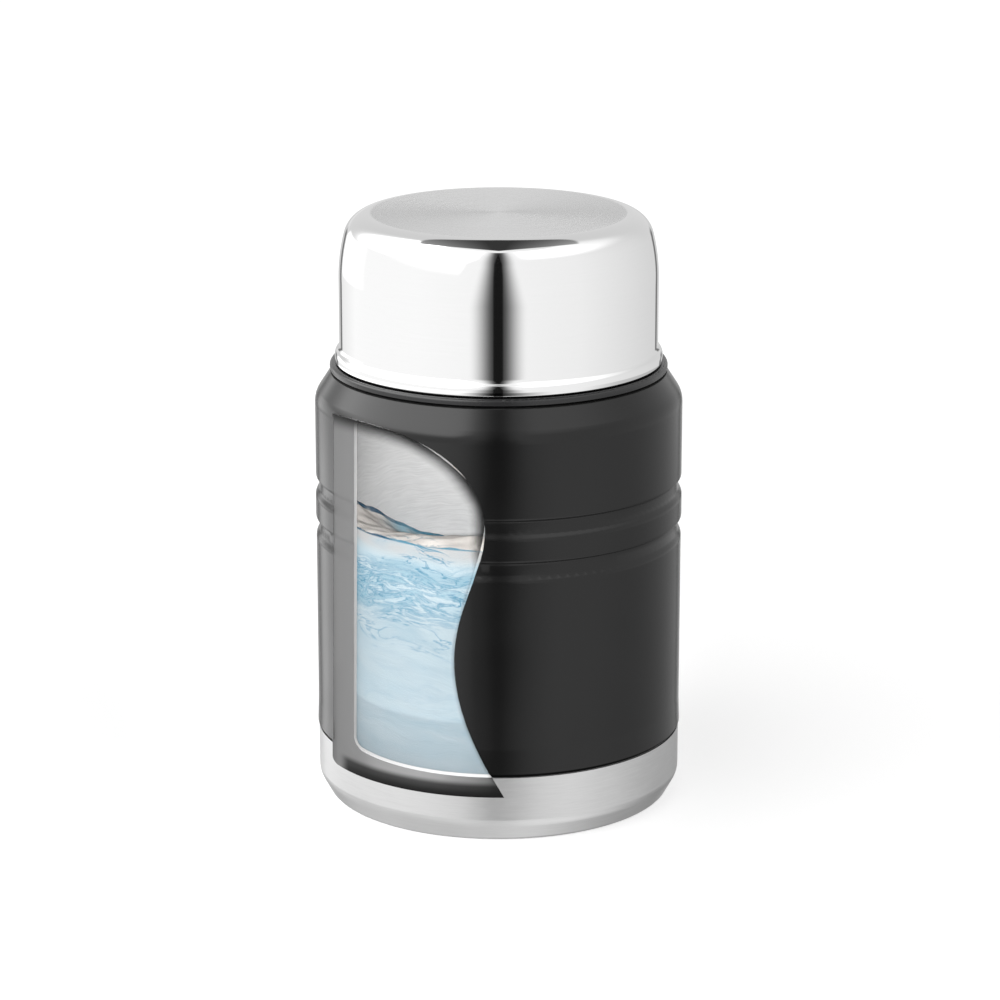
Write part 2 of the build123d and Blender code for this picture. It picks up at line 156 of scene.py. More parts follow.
black = (0.0, 0.0, 0.0, 1.0)
paint_levels = (0.0022, 0.003)
inner_steel_level = 0.62
# near-black painted on the base's lap as shade in the seam's gap
seam_shade_level = 0.006
# near-black of the painted shadow on the wall's pane
painted_shadow_level = 0.004
ground_edge_level = 0.55
pale_water = (0.36, 0.435, 0.475, 1.0)
blue_water = (0.24, 0.35, 0.41, 1.0)
teal_patch = (0.13, 0.29, 0.37, 1.0)
teal_streak = (0.04, 0.17, 0.26, 1.0)
steel_through_water = (0.36, 0.36, 0.355, 1.0)
# painted reflection of the lit steel on the water's sloping surface
painted_surface_reflection = (0.70, 0.66, 0.62, 1.0)
fringe_colour = (0.25, 0.44, 0.53, 1.0)
dark_rim = (0.004, 0.05, 0.10, 1.0)
pale_rim = (0.10, 0.34, 0.46, 1.0)
floor_level = 0.8

# ---- Numbers that several materials share ----

tiny = 0.001  # keeps a division or a root from failing
noise_span = (0.3, 0.7)  # most of a noise's values lie between these
# A shade changes over this distance to either side of an edge (millimetres)
pane_edge_soft = 0.08
collar_shade_soft = 0.06
seam_soft = 0.05


# ---- Node helpers ----

def put(tree, socket, value):
    """Sets a socket, or links it where the value is another socket."""
    if isinstance(value, bpy.types.NodeSocket):
        tree.links.new(value, socket)
    else:
        socket.default_value = value


def add_node(tree, kind, inputs=None, **settings):
    node = tree.nodes.new(kind)
    for name, value in settings.items():
        setattr(node, name, value)
    if inputs:
        for name, value in inputs.items():
            put(tree, node.inputs[name], value)
    return node


def math(tree, operation, *values, clamp=False):
    node = add_node(tree, "ShaderNodeMath", operation=operation, use_clamp=clamp)
    for index, value in enumerate(values):
        put(tree, node.inputs[index], value)
    return node.outputs[0]


def product(tree, *factors):
    result = factors[0]
    for factor in factors[1:]:
        result = math(tree, "MULTIPLY", result, factor)
    return result


def length(tree, first, second):
    """Length of a line that goes this far one way and this far the other way."""
    squares = math(tree, "ADD", product(tree, first, first), product(tree, second, second))
    return math(tree, "SQRT", squares)


def ramp(tree, value, low, high, result_low=0.0, result_high=1.0, smooth=True):
    """Maps low to high onto the two results, clamped, with soft ends unless smooth is off."""
    kind = "SMOOTHSTEP" if smooth else "LINEAR"
    node = add_node(
        tree,
        "ShaderNodeMapRange",
        {0: value, 1: low, 2: high, 3: result_low, 4: result_high},
        interpolation_type=kind,
        clamp=True,
    )
    return node.outputs[0]


def band(tree, value, rise_from, rise_to, fall_from, fall_to):
    """1 from rise_to to fall_from, and 0 below rise_from and above fall_to."""
    return product(
        tree, ramp(tree, value, rise_from, rise_to), ramp(tree, value, fall_to, fall_from)
    )


def blend_numbers(tree, share, low, high):
    node = add_node(tree, "ShaderNodeMix", {0: share, 2: low, 3: high}, data_type="FLOAT")
    return node.outputs[0]


def blend_colours(tree, share, low, high):
    node = add_node(tree, "ShaderNodeMix", data_type="RGBA")
    put(tree, node.inputs[0], share)
    put(tree, node.inputs[6], low)
    put(tree, node.inputs[7], high)
    return node.outputs[2]


def grey(level):
    return (level, level, level, 1.0)


def noise(tree, vector, scale=1.0, detail=2.0, roughness=0.5, distortion=0.0):
    node = add_node(
        tree,
        "ShaderNodeTexNoise",
        {
            "Vector": vector,
            "Scale": scale,
            "Detail": detail,
            "Roughness": roughness,
            "Distortion": distortion,
        },
    )
    return node.outputs[0]


def place(tree):
    """The point's x, y and z in the part's own frame and its distance from the axis, in mm."""
    coordinates = add_node(tree, "ShaderNodeTexCoord").outputs["Object"]
    scaled = add_node(
        tree, "ShaderNodeVectorMath", {0: coordinates, 3: 1 / mm}, operation="SCALE"
    ).outputs[0]
    parts = add_node(tree, "ShaderNodeSeparateXYZ", {0: scaled}).outputs
    x, y, z = parts[0], parts[1], parts[2]
    return x, y, z, math(tree, "MAXIMUM", length(tree, x, y), tiny)


def facing_in(tree, x, y, radius):
    """1 where the surface faces the axis, 0 elsewhere."""
    facing = add_node(tree, "ShaderNodeTexCoord").outputs["Normal"]
    parts = add_node(tree, "ShaderNodeSeparateXYZ", {0: facing}).outputs
    outward = math(tree, "ADD", product(tree, parts[0], x), product(tree, parts[1], y))
    return ramp(tree, math(tree, "DIVIDE", outward, radius), -0.2, -0.3, smooth=False)


def curve_value(tree, value, points, low, high, result_low, result_high):
    """A smooth curve through the points, for an input from low to high."""
    node = add_node(tree, "ShaderNodeFloatCurve")
    put(tree, node.inputs["Value"], ramp(tree, value, low, high, smooth=False))
    curve = node.mapping.curves[0]
    in_span = high - low
    result_span = result_high - result_low
    places = sorted(
        ((at - low) / in_span, (result - result_low) / result_span) for at, result in points
    )
    curve.points[0].location = places[0]
    curve.points[1].location = places[-1]
    for spot in places[1:-1]:
        curve.points.new(*spot)
    node.mapping.update()
    return math(tree, "MULTIPLY_ADD", node.outputs[0], result_span, result_low)


def window_distance(tree, x, z):
    """How far a point of the wall is inside the window's curved edge, in millimetres."""
    right_side = [(height, across) for across, height in window_edge[1:]]
    upper_side = window_edge[: window_edge_turn + 1]
    right_x = curve_value(tree, z, right_side, window_low_h, window_top_h, *window_across_span)
    left_x, turn_x = upper_side[0][0], upper_side[-1][0]
    top_z = curve_value(tree, x, upper_side, left_x, turn_x, *window_up_span)
    to_right = math(tree, "SUBTRACT", right_x, x)
    to_top = math(tree, "SUBTRACT", top_z, z)
    # Below the edge's turn the upper side no longer counts
    to_top = math(tree, "ADD", to_top, ramp(tree, z, 92.0, 82.0, 0.0, 40.0))
    to_right = math(tree, "MAXIMUM", to_right, tiny)
    to_top = math(tree, "MAXIMUM", to_top, tiny)
    return math(tree, "DIVIDE", product(tree, to_right, to_top), length(tree, to_right, to_top))


def combine(tree, x, y, z):
    return add_node(tree, "ShaderNodeCombineXYZ", {0: x, 1: y, 2: z}).outputs[0]


def turned_vector(tree, along, across, slope, wave=0.0):
    """Coordinates for marks left by turning or brushing round the axis: long along the circle and
    fine along the profile, whose length is z plus slope times the radius plus the wave."""
    x, y, z, radius = place(tree)
    profile = math(tree, "MULTIPLY_ADD", radius, slope, z)
    profile = math(tree, "ADD", profile, wave)
    around_x = product(tree, math(tree, "DIVIDE", x, radius), along)
    around_y = product(tree, math(tree, "DIVIDE", y, radius), along)
    return combine(tree, around_x, around_y, product(tree, profile, across))


def steered_normal(tree, start, push):
    """A unit vector: the start direction moved by the push."""
    moved = add_node(tree, "ShaderNodeVectorMath", {0: start, 1: push}, operation="ADD").outputs[0]
    return add_node(tree, "ShaderNodeVectorMath", {0: moved}, operation="NORMALIZE").outputs[0]


def new_material(name):
    material = bpy.data.materials.new(name)
    material.use_nodes = True
    tree = material.node_tree
    shader = tree.nodes["Principled BSDF"]
    return material, tree, shader


def bump(tree, shader, height, depth_mm, strength=1.0, before=None):
    inputs = {"Height": height, "Distance": depth_mm * mm, "Strength": strength}
    if before:
        inputs["Normal"] = before
    node = add_node(tree, "ShaderNodeBump", inputs)
    put(tree, shader.inputs["Normal"], node.outputs[0])


def spin_tangent(tree, shader):
    tangent = add_node(tree, "ShaderNodeTangent", direction_type="RADIAL", axis="Z")
    put(tree, shader.inputs["Tangent"], tangent.outputs[0])


def dress(material, *names):
    """Gives CAD nodes or pieces this material."""
    for name in names:
        piece = bpy.data.objects[name]
        piece.data.materials.clear()
        piece.data.materials.append(material)


# ---- Materials ----

def black_paint():
    """Satin powder coat outside, bare steel on the sheet's inner face."""
    material, tree, shader = new_material("satin_black_paint")
    x, y, z, radius = place(tree)
    point = combine(tree, x, y, z)
    inside = facing_in(tree, x, y, radius)
    grain = noise(tree, point, 4.0, 3.0)
    patches = noise(tree, point, 0.05, 2.0)
    colour = blend_colours(tree, patches, grey(paint_levels[0]), grey(paint_levels[1]))
    colour = blend_colours(tree, inside, colour, grey(inner_steel_level))
    put(tree, shader.inputs["Base Color"], colour)
    put(tree, shader.inputs["Metallic"], product(tree, inside, 0.3))
    rough = ramp(tree, patches, *noise_span, 0.18, 0.21)
    # No gloss in the gap under the collar
    shade_low, shade_high = collar_shade_r - collar_shade_soft, collar_shade_r + collar_shade_soft
    under_collar = ramp(tree, radius, shade_high, shade_low)
    rough = blend_numbers(tree, under_collar, rough, 1.0)
    put(tree, shader.inputs["Roughness"], blend_numbers(tree, inside, rough, 0.55))
    shader.inputs["Specular IOR Level"].default_value = 0.36
    bump(tree, shader, grain, 0.006, 0.2)
    return material


def mixed(tree, first, second, first_share):
    """A sum of two values, with shares that add up to 1."""
    second_part = product(tree, second, round(1 - first_share, 4))
    return math(tree, "ADD", product(tree, first, first_share), second_part)


def brushed_steel(name, slope, level, roughness, anisotropy, seam_shade_from=None):
    """Steel brushed round the axis, with fine lines, a few longer scratches and faint clouds. Above
    the height given last it is painted near-black, as painted shade in the seam's gap over the lap."""
    material, tree, shader = new_material(name)
    fine = noise(tree, turned_vector(tree, 9.0, 5.0, slope), 1.0, 3.0, 0.7)
    coarse = noise(tree, turned_vector(tree, 4.0, 1.6, slope), 1.0, 2.0, 0.6)
    x, y, z = place(tree)[:3]
    clouds = noise(tree, combine(tree, x, y, z), 0.09, 3.0)
    lines = mixed(tree, fine, coarse, 0.6)
    shade = mixed(tree, lines, clouds, 0.75)
    colour = blend_colours(
        tree, ramp(tree, shade, *noise_span, smooth=False), grey(level * 0.9), grey(level * 1.06)
    )
    # Painted shade: the lap behind the seam's gap is painted near-black
    if seam_shade_from:
        dark = ramp(tree, z, seam_shade_from - seam_soft, seam_shade_from + seam_soft)
        colour = blend_colours(tree, dark, colour, grey(seam_shade_level))
    put(tree, shader.inputs["Base Color"], colour)
    shader.inputs["Metallic"].default_value = 1.0
    rough = ramp(tree, lines, *noise_span, roughness, roughness + 0.08)
    put(tree, shader.inputs["Roughness"], rough)
    shader.inputs["Anisotropic"].default_value = anisotropy
    spin_tangent(tree, shader)
    bump(tree, shader, lines, 0.006, 0.5)
    return material


def cup_steel():
    """Polished side with hair lines, and a top disc turned with fine rings."""
    material, tree, shader = new_material("polished_cup_steel")
    z, radius = place(tree)[2:]
    fine = noise(tree, turned_vector(tree, 7.0, 6.0, -1.0), 1.0, 3.0, 0.7)
    rings = noise(tree, turned_vector(tree, 1.5, 2.2, -1.0), 1.0, 2.0, 0.6)
    lines = mixed(tree, fine, rings, 0.6)
    on_disc = ramp(tree, radius, disc_r + 0.5, disc_r - 0.5)
    on_top = product(tree, on_disc, ramp(tree, z, cup_top_h - 1.0, cup_top_h - 0.4))
    side_colour = blend_colours(tree, lines, grey(0.76), grey(0.80))
    top_colour = blend_colours(tree, ramp(tree, lines, *noise_span), grey(0.68), grey(0.78))
    put(tree, shader.inputs["Base Color"], blend_colours(tree, on_top, side_colour, top_colour))
    shader.inputs["Metallic"].default_value = 1.0
    side_rough = ramp(tree, lines, *noise_span, 0.03, 0.05)
    top_rough = ramp(tree, lines, *noise_span, 0.24, 0.32)
    put(tree, shader.inputs["Roughness"], blend_numbers(tree, on_top, side_rough, top_rough))
    shader.inputs["Anisotropic"].default_value = 0.6
    spin_tangent(tree, shader)
    bump(tree, shader, lines, 0.004, ramp(tree, on_top, 0.0, 1.0, 0.05, 0.5))
    return material


def corner_reach(tree, from_side, from_foot):
    """How far outside the middle of the liner's pane a point is, round its lower left corner; at
    the pane's own outline it is liner_pane_corner_r."""
    corner_x = math(tree, "MAXIMUM", math(tree, "SUBTRACT", liner_pane_corner_r, from_side), 0.0)
    corner_z = math(tree, "MAXIMUM", math(tree, "SUBTRACT", liner_pane_corner_r, from_foot), 0.0)
    return length(tree, corner_x, corner_z)


def glass_haze(tree, x, y, z):
    """How much of a clear pane can be seen: almost nothing, a little uneven."""
    clouds = noise(tree, combine(tree, x, y, z), 0.12, 2.0)
    return ramp(tree, clouds, *noise_span, 0.01, 0.03)


def wall_painted_shadow(tree, x, z):
    """Painted shadow on the wall's pane along the cut's curved edge and along its foot."""
    distance = window_distance(tree, x, z)
    high = ramp(tree, z, *edge_shadow_heights)
    reach = blend_numbers(tree, high, *edge_shadow_reaches)
    edge_shadow = ramp(tree, math(tree, "DIVIDE", distance, reach), 0.0, 1.0, 1.0, 0.0)
    edge_shadow = product(tree, edge_shadow, blend_numbers(tree, high, *edge_shadow_levels))
    foot_shadow = math(
        tree,
        "ADD",
        ramp(tree, z, *foot_shadow_top, 0.0, foot_shadow_levels[0]),
        ramp(tree, z, *foot_shadow_low, 0.0, foot_shadow_levels[1]),
    )
    foot_shadow = product(tree, foot_shadow, ramp(tree, x, *foot_shadow_left))
    return math(tree, "MAXIMUM", edge_shadow, foot_shadow)


def wall_gap_shading(tree, x, z):
    """Grey painted in place of the vacuum gap's light and shade, to the left of the liner's pane
    and below it, as seen from in front.
    """
    across_squared = product(tree, x, x)
    wall_depth = math(tree, "SQRT", math(tree, "SUBTRACT", wall_r ** 2, across_squared))
    inner_squared = math(tree, "SUBTRACT", liner_pane_r ** 2, across_squared)
    inner_depth = math(tree, "SQRT", math(tree, "MAXIMUM", inner_squared, 0.0))
    behind = math(tree, "SUBTRACT", wall_depth, inner_depth)
    foot_h = math(tree, "MULTIPLY_ADD", behind, foot_sight, liner_pane_low_h)
    upright_x = math(tree, "MULTIPLY_ADD", z, -gap_shading_lean, x)
    from_side = math(tree, "SUBTRACT", upright_x, gap_shading_low_x)
    outside_pane = corner_reach(tree, from_side, math(tree, "SUBTRACT", z, foot_h))
    edge_low = liner_pane_corner_r - pane_edge_soft
    edge_high = liner_pane_corner_r + pane_edge_soft
    return ramp(tree, outside_pane, edge_low, edge_high, 0.0, gap_shading_strength)


def wall_pane():
    """Clear pane in the outer wall, with a painted shadow along the window's edges and grey painted
    in place of the vacuum gap's light and shade.
    """
    material, tree, shader = new_material("clear_wall_pane")
    x, y, z, radius = place(tree)
    # Painted shadow along the window's curved edge and its foot
    painted_shadow = wall_painted_shadow(tree, x, z)
    # Grey painted in place of the vacuum gap's light and shade
    gap_shading = wall_gap_shading(tree, x, z)
    no_painted_shadow = math(tree, "SUBTRACT", 1.0, painted_shadow)
    no_gap_shading = math(tree, "SUBTRACT", 1.0, gap_shading)
    cover = math(tree, "SUBTRACT", 1.0, product(tree, no_gap_shading, no_painted_shadow))
    shadow_share = math(tree, "DIVIDE", painted_shadow, math(tree, "MAXIMUM", cover, tiny), clamp=True)
    level = curve_value(
        tree, x, gap_shading_levels, gap_shading_levels[0][0], gap_shading_levels[-1][0], 0.0, gap_shading_level_top
    )
    gap_shading_colour = combine(tree, level, level, level)
    colour = blend_colours(tree, shadow_share, gap_shading_colour, grey(painted_shadow_level))
    put(tree, shader.inputs["Base Color"], colour)
    # The outer face alone carries the shade, and it is lit as if it had no grooves
    outside = ramp(tree, facing_in(tree, x, y, radius), 0.0, 1.0, 1.0, 0.0, smooth=False)
    cover = product(tree, cover, outside)
    put(tree, shader.inputs["Alpha"], math(tree, "MAXIMUM", glass_haze(tree, x, y, z), cover))
    outward = steered_normal(tree, combine(tree, x, y, 0.0), (0, 0, 0))
    put(tree, shader.inputs["Normal"], outward)
    shader.inputs["Roughness"].default_value = 0.5
    shader.inputs["Specular IOR Level"].default_value = 0.1
    return material


def liner_pane():
    """Clear pane in the liner, with a ground, light edge along its left side and its foot."""
    material, tree, shader = new_material("clear_liner_pane")
    x, y, z = place(tree)[:3]
    lean = (liner_pane_top_x - liner_pane_low_x) / (liner_pane_top_h - liner_pane_low_h)
    side_line = math(tree, "MULTIPLY_ADD", z, lean, liner_pane_low_x - liner_pane_low_h * lean)
    from_side = math(tree, "SUBTRACT", x, side_line)
    from_foot = math(tree, "SUBTRACT", z, liner_pane_low_h)
    outside_pane = corner_reach(tree, from_side, from_foot)
    edge_from = liner_pane_corner_r - liner_pane_edge_w
    ground = ramp(tree, outside_pane, edge_from - pane_edge_soft, edge_from + pane_edge_soft)
    colour = blend_colours(tree, ground, grey(1.0), grey(ground_edge_level))
    put(tree, shader.inputs["Base Color"], colour)
    alpha = blend_numbers(tree, ground, glass_haze(tree, x, y, z), 1.0)
    put(tree, shader.inputs["Alpha"], alpha)
    shader.inputs["Roughness"].default_value = 0.45
    shader.inputs["Specular IOR Level"].default_value = 0.2
    return material


def matt_steel(name, slope, level, metallic, roughness):
    """Brushed steel seen where little but soft light reaches it: mostly a matt grey with fine,
    wavy lines round the axis."""
    material, tree, shader = new_material(name)
    wave = product(tree, noise(tree, turned_vector(tree, 3.0, 0.05, slope), 1.0, 2.0), 5.0)
    fine = noise(tree, turned_vector(tree, 7.0, 2.2, slope, wave), 1.0, 4.0, 0.75)
    colour = blend_colours(
        tree, ramp(tree, fine, 0.32, 0.68, smooth=False), grey(level * 0.86), grey(level * 1.08)
    )
    put(tree, shader.inputs["Base Color"], colour)
    shader.inputs["Metallic"].default_value = metallic
    rough = ramp(tree, fine, *noise_span, roughness, roughness + 0.1)
    put(tree, shader.inputs["Roughness"], rough)
    shader.inputs["Anisotropic"].default_value = 0.4
    spin_tangent(tree, shader)
    bump(tree, shader, fine, 0.01, 0.5)
    return material


def water_streaks(tree, x, y, depth):
    """Thin contour lines of a stretched noise, and the noise that ripples and patches follow."""
    drift = noise(tree, combine(tree, x, y, product(tree, depth, 1.5)), 0.05, 2.0)
    bent = math(tree, "MULTIPLY_ADD", drift, 8.0, depth)
    flow = combine(
        tree, product(tree, x, 0.045), product(tree, y, 0.045), product(tree, bent, 0.26)
    )
    ripples = noise(tree, flow, 1.0, 4.0, 0.62, 0.5)
    ridge = math(tree, "ABSOLUTE", math(tree, "SUBTRACT", ripples, 0.5))
    second = noise(tree, flow, 2.3, 5.0, 0.7, 1.2)
    second_ridge = math(tree, "ABSOLUTE", math(tree, "SUBTRACT", second, 0.52))
    where = noise(tree, flow, 0.8, 2.0, 0.5)
    thin = product(tree, ramp(tree, ridge, 0.018, 0.004), ramp(tree, where, 0.42, 0.55))
    calm = ramp(tree, depth, 34.0, 18.0, 0.16, 1.0)
    busy_band = band(tree, depth, 3.0, 9.0, 16.0, 24.0)
    busy = product(tree, ramp(tree, second_ridge, 0.05, 0.01), busy_band, 0.8)
    streaks = math(tree, "MAXIMUM", product(tree, thin, calm), busy)
    patches = product(tree, ramp(tree, second, 0.45, 0.7), busy_band, 0.7)
    return streaks, flow, ripples, patches


def water_body(tree, z, depth, flow, patches):
    """Colour inside the water: pale, with soft blue patches, and darker step by step below."""
    soft = ramp(tree, noise(tree, flow, 0.7, 3.0, 0.6), 0.38, 0.68)
    soft = product(tree, soft, ramp(tree, depth, 30.0, 16.0, 0.35, 1.0))
    body = blend_colours(tree, soft, pale_water, blue_water)
    body = blend_colours(tree, patches, body, teal_patch)
    # Near the top, the lit steel behind is painted in, as if seen through the water
    near_top = ramp(tree, depth, 5.0, 0.5)
    steel_seen = product(tree, near_top, ramp(tree, soft, 0.0, 1.0, 1.0, 0.5))
    body = blend_colours(tree, steel_seen, body, steel_through_water)
    lower = math(
        tree, "ADD", ramp(tree, z, 63.0, 54.0, 0.0, 0.12), ramp(tree, z, 30.4, 29.2, 0.0, 0.15)
    )
    lower = math(tree, "ADD", lower, ramp(tree, z, 27.0, 16.0, 0.0, 0.1))
    return blend_colours(tree, lower, body, black)


def moving_water():
    """Pale water with teal streaks that lie along its sloping surface."""
    material, tree, shader = new_material("moving_water")
    x, y, z, radius = place(tree)
    left_of_turn = math(tree, "MINIMUM", math(tree, "SUBTRACT", x, water_back_turn_x), 0.0)
    left_squared = product(tree, left_of_turn, left_of_turn)
    back = math(tree, "MULTIPLY_ADD", left_squared, water_back_rise, water_back_h)
    level = blend_numbers(tree, ramp(tree, y, -water_fall_y, water_fall_y), water_front_h, back)
    depth = math(tree, "SUBTRACT", level, z)
    streaks, flow, ripples, patches = water_streaks(tree, x, y, depth)
    body = water_body(tree, z, depth, flow, patches)

    # The sloping surface, painted with the lit steel that it reflects and shows through, and with a
    # pale blue fringe behind at the right
    facing = add_node(tree, "ShaderNodeTexCoord").outputs["Normal"]
    upward = ramp(tree, add_node(tree, "ShaderNodeSeparateXYZ", {0: facing}).outputs[2], 0.3, 0.6)
    off_wall = ramp(tree, radius, water_r - 0.03, water_r - 0.1)
    surface = product(tree, ramp(tree, depth, 1.2, 0.8), upward, off_wall)
    body = blend_colours(tree, surface, body, painted_surface_reflection)
    fringe = product(tree, ramp(tree, y, -8.0, 12.0), ramp(tree, x, -33.0, -26.0))
    fringe = product(tree, fringe, ramp(tree, ripples, 0.35, 0.6, 0.3, 1.0), surface)
    body = blend_colours(tree, fringe, body, fringe_colour)
    on_surface = ramp(tree, surface, 0.0, 1.0, 0.85, 0.5)
    colour = blend_colours(tree, product(tree, streaks, on_surface), body, teal_streak)

    # The line where the water meets the liner, which starts higher up in front
    in_front = ramp(tree, y, 4.0, -4.0)
    rim = ramp(tree, math(tree, "MULTIPLY_ADD", in_front, 0.5, depth), 0.35, 0.05)
    rim = product(tree, rim, ramp(tree, radius, 39.1, 39.5))
    uneven = noise(tree, combine(tree, x, y, 0.0), 0.18, 3.0, 0.7)
    rim = product(tree, rim, ramp(tree, uneven, 0.3, 0.55, 0.6, 1.0))
    paleness = ramp(tree, x, -30.0, -25.0, 0.0, 0.4)
    rim_colour = blend_colours(tree, paleness, dark_rim, pale_rim)
    put(tree, shader.inputs["Base Color"], blend_colours(tree, rim, colour, rim_colour))
    shader.inputs["Roughness"].default_value = 0.25
    shader.inputs["Specular IOR Level"].default_value = 0.2
    # Light spreads inside water, so it is shaded as if it faced the front more than it does
    outward = add_node(tree, "ShaderNodeNewGeometry").outputs["Normal"]
    bump(tree, shader, ripples, 0.6, 0.4, steered_normal(tree, outward, (0.0, -1.2, 0.0)))
    return material


def moulded(name, colour, roughness, specular=0.5, grain_depth=0.02, variation=0.15):
    """Moulded plastic, rubber or ceramic with a fine grain and slight unevenness."""
    material, tree, shader = new_material(name)
    x, y, z = place(tree)[:3]
    point = combine(tree, x, y, z)
    grain = noise(tree, point, 3.0, 3.0)
    patches = noise(tree, point, 0.15, 2.0)
    dark = tuple(part * (1 - variation) for part in colour) + (1.0,)
    light = tuple(part * (1 + variation) for part in colour) + (1.0,)
    put(tree, shader.inputs["Base Color"], blend_colours(tree, patches, dark, light))
    rough = ramp(tree, patches, *noise_span, roughness, roughness + 0.06)
    put(tree, shader.inputs["Roughness"], rough)
    shader.inputs["Specular IOR Level"].default_value = specular
    bump(tree, shader, grain, grain_depth, 0.3)
    return material


dress(black_paint(), "outer_shell")
dress(brushed_steel("brushed_base_steel", 1.0, 0.64, 0.3, 0.5, seam_h), "base_cup", "bottom_cover")
dress(cup_steel(), "cup_shell")
dress(matt_steel("brushed_liner_steel", 0.0, 0.73, 0.1, 0.4), "inner_liner")
dress(matt_steel("wrapped_foil", 0.0, 0.7, 0.3, 0.4), "radiation_foil")
dress(
    moulded("black_moulded_plastic", (0.006, 0.006, 0.0065), 0.25),
    "stopper_body",
    "stopper_cover",
    "stopper_base",
)
dress(moulded("grey_button_plastic", (0.22, 0.22, 0.23), 0.4), "valve_button", "valve_rod")
dress(moulded("insert_plastic", (0.03, 0.03, 0.032), 0.36), "cup_insert")
dress(moulded("black_rubber", (0.012, 0.012, 0.012), 0.5, 0.3), "stopper_gasket", "cup_seal")
dress(moulded("translucent_silicone", (0.55, 0.55, 0.54), 0.5, 0.4), "valve_seal")
dress(moulded("insulating_foam", (0.8, 0.78, 0.7), 0.9, 0.2, 0.4), "stopper_foam")
dress(brushed_steel("spring_wire_steel", 1.0, 0.55, 0.25, 0.0), "valve_spring")
getter_metal = brushed_steel("getter_metal", 1.0, 0.5, 0.4, 0.0)
dress(getter_metal, "getter_cup", "getter_pellet", "vacuum_seal")


# ---- Meshes ----

def add_mesh(name, points, faces):
    """A piece with smooth shading, from points in millimetres."""
    mesh = bpy.data.meshes.new(name)
    mesh.from_pydata([[part * mm for part in point] for point in points], [], faces)
    for polygon in mesh.polygons:
        polygon.use_smooth = True
    piece = bpy.data.objects.new(name, mesh)
    bpy.context.scene.collection.objects.link(piece)
    return piece


def lathe(rings, first_h, last_h):
    """Points and faces of a closed body from one profile per step round the axis. Each profile
    holds (radius, height) from near the axis at first_h to near the axis at last_h."""
    around, count = len(rings), len(rings[0])
    points = [(0.0, 0.0, first_h), (0.0, 0.0, last_h)]
    faces = []
    for step, ring in enumerate(rings):
        angle = 2 * pi * step / around
        for radius, height in ring:
            points.append((radius * cos(angle), radius * sin(angle), height))
        here = 2 + step * count
        after = 2 + (step + 1) % around * count
        faces.append((0, after, here))
        faces.append((1, here + count - 1, after + count - 1))
        for index in range(count - 1):
            faces.append((here + index, after + index, after + index + 1, here + index + 1))
    return points, faces


# ---- Water inside the jar ----

def water_level(x, y):
    """Height of the sloshing surface, with small waves."""
    back = water_back_h + water_back_rise * min(x - water_back_turn_x, 0.0) ** 2
    far = min(max((y + water_fall_y) / (2 * water_fall_y), 0.0), 1.0)
    slope = water_front_h + (back - water_front_h) * far * far * (3 - 2 * far)
    waves = 0.22 * sin(0.55 * x + 0.3 * y) + 0.16 * sin(0.31 * x - 0.62 * y + 1.3)
    ripple = 0.07 * sin(1.25 * x + 0.9 * y + 0.6) + 0.05 * sin(1.7 * y - 0.8 * x)
    return slope + waves + ripple


def water_profile(across, back):
    """The water's outline in one direction: flat floor, rounded corner, wall, a small climb at the
    wall and the sloping surface."""
    floor_h = liner_floor_h + water_gap
    centre_r = water_r - liner_floor_round
    profile = [(radius, floor_h) for radius in (4.0, 10.0, 18.0, 26.0, 32.0)]
    for index in range(corner_steps + 1):
        bend = pi / 2 * index / corner_steps
        height = floor_h + liner_floor_round * (1 - cos(bend))
        profile.append((centre_r + liner_floor_round * sin(bend), height))
    low_h = floor_h + liner_floor_round
    top_h = water_level(water_r * across, water_r * back) + water_climb
    for index in range(1, wall_steps):
        profile.append((water_r, low_h + (top_h - low_h) * index / wall_steps))
    profile.append((water_r, top_h - water_climb_round))
    profile.append((water_r, top_h))
    for inset in climb_insets:
        radius = water_r - inset
        climb = water_climb * (1 - inset / climb_insets[-1]) ** 3
        profile.append((radius, water_level(radius * across, radius * back) + climb))
    for radius in surface_radii:
        profile.append((radius, water_level(radius * across, radius * back)))
    return profile


def make_water():
    """One closed body of water."""
    rings = []
    for step in range(water_steps):
        angle = 2 * pi * step / water_steps
        rings.append(water_profile(cos(angle), sin(angle)))
    points, faces = lathe(rings, liner_floor_h + water_gap, water_level(0.0, 0.0))
    water = add_mesh("water", points, faces)
    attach(water, "jar")
    dress(moving_water(), "water")


water_steps = 180
corner_steps = 8
wall_steps = 40
climb_insets = [0.12, 0.3, 0.55, 0.9, 1.4, 2.1]
surface_radii = [
    36.5, 34.5, 32.5, 30.5, 28.5, 26.5, 24.5, 22.5, 20.0, 17.5, 15.0, 12.0, 9.0, 6.0, 3.0
]
make_water()


# ---- Clear panes in the window ----

def smooth_edge(points, steps):
    """Points of a smooth curve (Catmull-Rom) through the given ones."""
    ends = [points[0]] + points + [points[-1]]
    curve = []
    for index in range(len(points) - 1):
        before, start, end, after = ends[index : index + 4]
        for step in range(steps):
            t = step / steps
            curve.append(
                tuple(
                    0.5
                    * (
                        2 * b
                        + (c - a) * t
                        + (2 * a - 5 * b + 4 * c - d) * t * t
                        + (3 * b - a - 3 * c + d) * t * t * t
                    )
                    for a, b, c, d in zip(before, start, end, after)
                )
            )
    curve.append(points[-1])
    return curve


def height_spots(points):
    return sorted((height, across) for across, height in points)


def across_at(spots, height):
    """Where a run of (height, across) spots, sorted upward, is at this height."""
    height = min(max(height, spots[0][0]), spots[-1][0])
    above = max(min(i for i, spot in enumerate(spots) if spot[0] >= height), 1)
    (low_h, low_x), (high_h, high_x) = spots[above - 1], spots[above]
    return low_x + (high_x - low_x) * (height - low_h) / (high_h - low_h)


